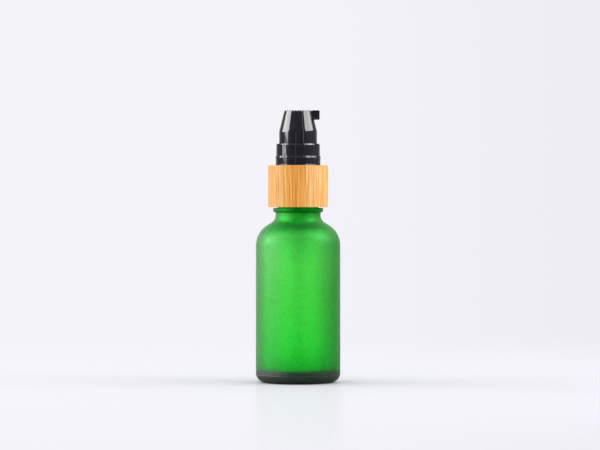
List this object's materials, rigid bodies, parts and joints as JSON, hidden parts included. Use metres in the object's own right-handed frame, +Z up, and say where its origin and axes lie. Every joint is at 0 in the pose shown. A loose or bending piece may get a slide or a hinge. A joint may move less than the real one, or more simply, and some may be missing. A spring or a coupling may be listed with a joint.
{
  "type": "pump oil bottle",
  "caption": "Frosted green glass oil bottle with a bamboo collar over its screw cap and a glossy black treatment pump whose head presses down and turns.",
  "frame": {"origin": "centre of the bearing ring under the bottle, on the surface it stands on", "axes": "+Z up along the bottle's axis, +X along the nozzle, +Y to the nozzle's left"},
  "size_m": [0.033, 0.033, 0.1063],
  "materials": {
    "green_glass": "frosted outside, smooth inside",
    "foam": "soft closed-cell foam",
    "white_plastic": "natural polypropylene",
    "clear_plastic": "milky polyethylene tube",
    "black_plastic": "polished mould",
    "cap_plastic": "satin",
    "bamboo": "laminated bamboo, satin lacquer",
    "steel": "drawn wire and polished ball"
  },
  "bodies": {
    "bottle": {"bottle": "green_glass"},
    "gasket": {"neck_gasket": "foam"},
    "pump": {"pump_housing": "white_plastic", "stem_guide": "white_plastic", "shroud_ring": "black_plastic", "ball_cage": "white_plastic", "dip_tube": "clear_plastic"},
    "closure": {"screw_cap": "cap_plastic", "bamboo_sleeve": "bamboo"},
    "ball": {"inlet_ball": "steel"},
    "spring": {"return_spring": "steel"},
    "head": {"actuator": "black_plastic", "stem": "white_plastic", "plunger": "white_plastic"},
    "piston": {"piston": "white_plastic"}
  },
  "joints": [
    {"name": "pull_out", "type": "slide", "parent": "bottle", "child": "gasket", "axis": [0, 0, 1], "range_m": [0, 0.08]},
    {"name": "thread_lift", "type": "slide", "parent": "gasket", "child": "pump", "axis": [0, 0, 1], "range_m": [0, 0.006]},
    {"name": "closure_turn", "type": "hinge", "parent": "pump", "child": "closure", "pos_m": [0, 0, 0.0755], "axis": [0, 0, 1], "range_deg": [0, 720]},
    {"name": "ball_lift", "type": "slide", "parent": "pump", "child": "ball", "axis": [0, 0, 1], "range_m": [0, 0.001]},
    {"name": "head_turn", "type": "hinge", "parent": "pump", "child": "spring", "pos_m": [0, 0, 0.0864], "axis": [0, 0, 1], "continuous": true},
    {"name": "head_press", "type": "slide", "parent": "spring", "child": "head", "axis": [0, 0, 1], "range_m": [-0.0045, 0], "stiffness_N_per_m": 1500, "springref_m": 0.003, "deforming": ["return_spring"]},
    {"name": "piston_lag", "type": "slide", "parent": "head", "child": "piston", "axis": [0, 0, 1], "range_m": [0, 0.0008]}
  ],
  "couplings": [
    {"joint": "thread_lift", "follows": "closure_turn", "m_per_rad": 0.00047746}
  ]
}
